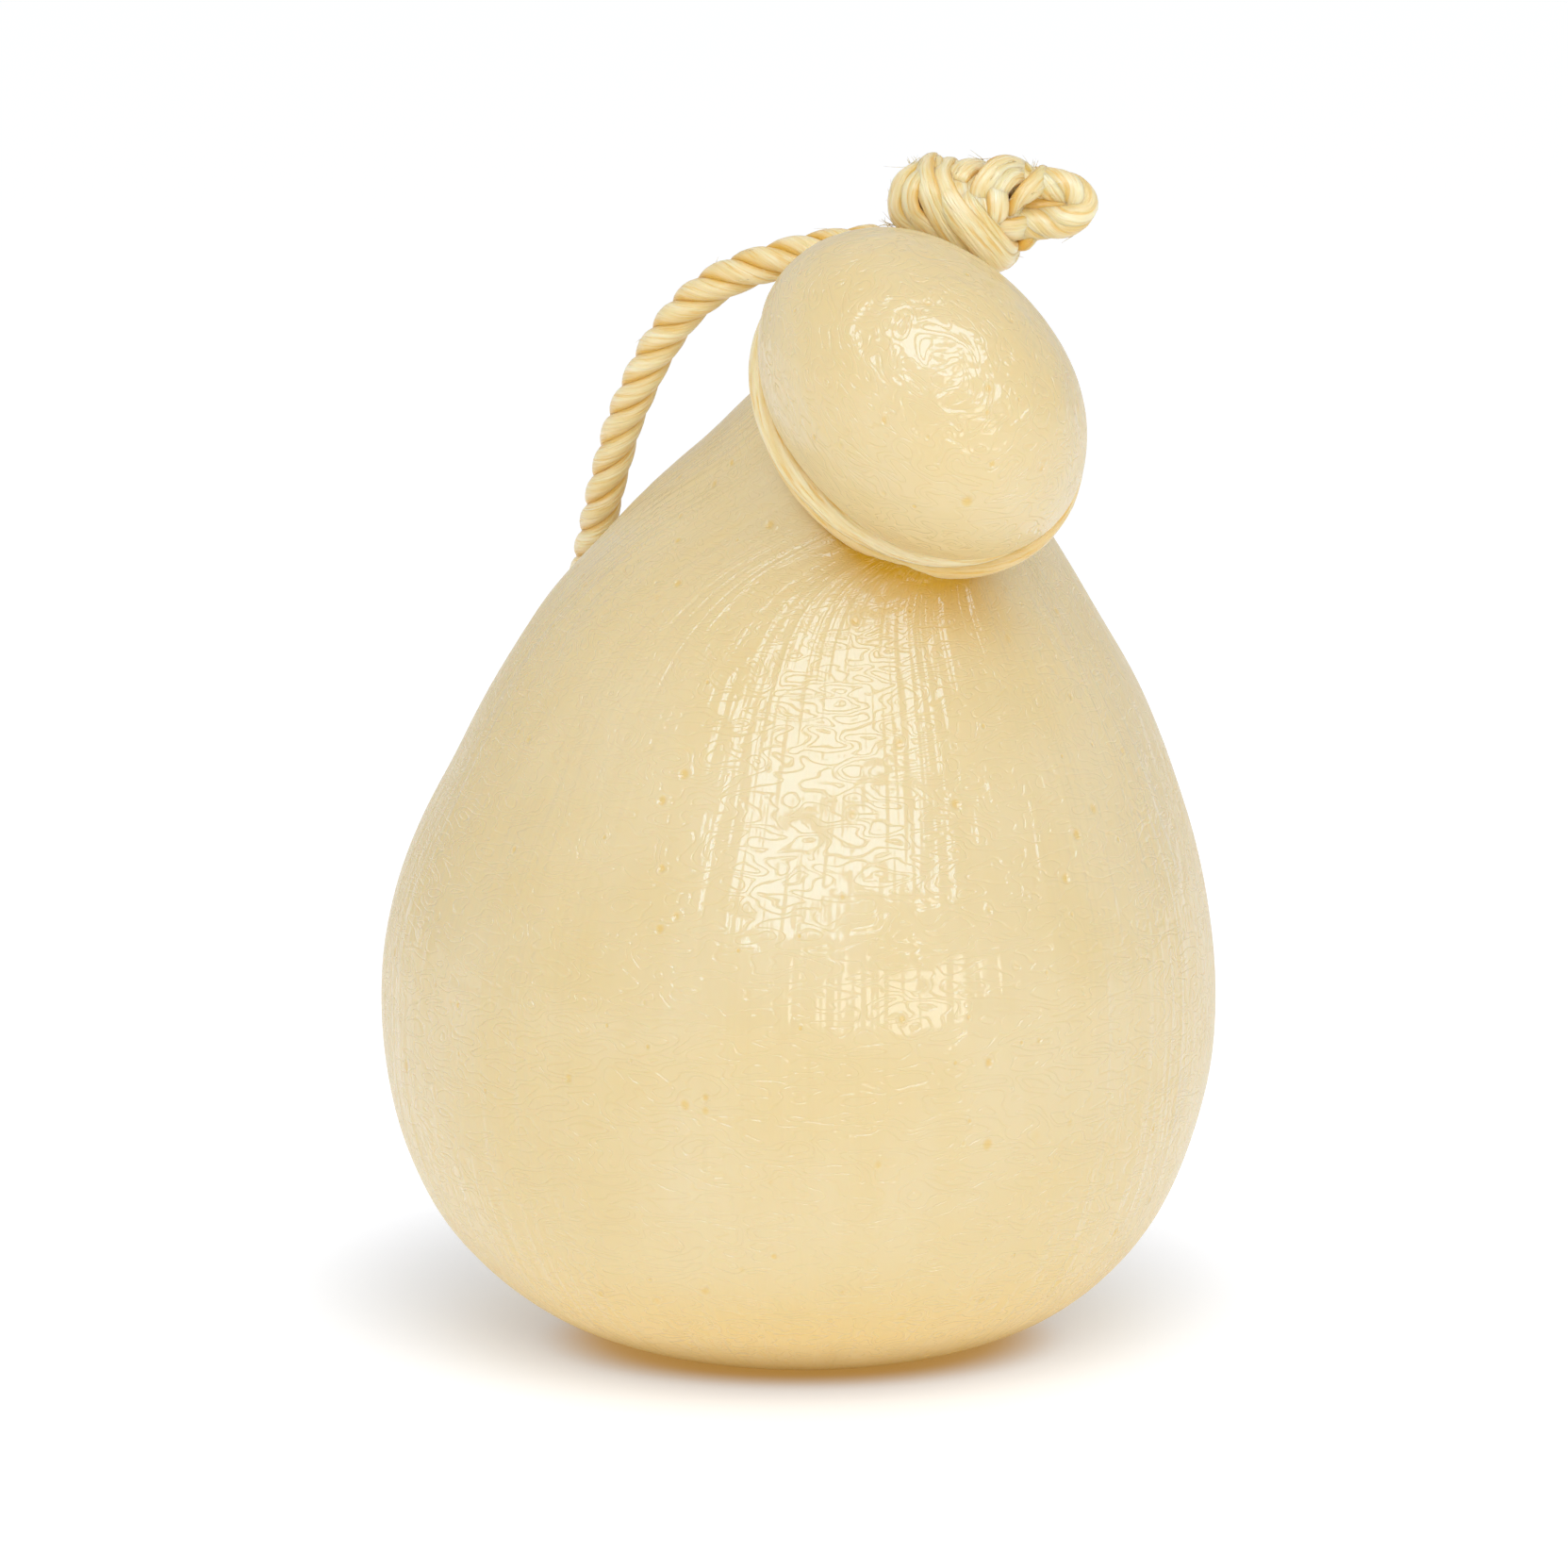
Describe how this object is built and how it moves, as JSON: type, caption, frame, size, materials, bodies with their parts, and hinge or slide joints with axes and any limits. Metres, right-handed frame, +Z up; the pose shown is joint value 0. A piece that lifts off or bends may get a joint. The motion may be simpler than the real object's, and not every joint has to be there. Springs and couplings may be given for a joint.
{
  "type": "caciocavallo cheese with hanging rope",
  "caption": "Pear-shaped stretched-curd cheese with a tied round head, a rope round its neck and a rope loop to hang it by.",
  "frame": {"origin": "middle of the flat spot under the cheese that it stands on", "axes": "+Z up through the belly, -Y to the front, where the tied head looks, +X to the right in the front view"},
  "size_m": [0.1396, 0.1434, 0.2022],
  "materials": {
    "rind": "waxy, satin to glossy, with fine wrinkles and small pits",
    "rope": "twisted straw-coloured fibre, slightly shiny"
  },
  "bodies": {
    "root": {"cheese": "rind", "rope_tie": "rope", "hanging_rope": "rope"}
  },
  "joints": []
}
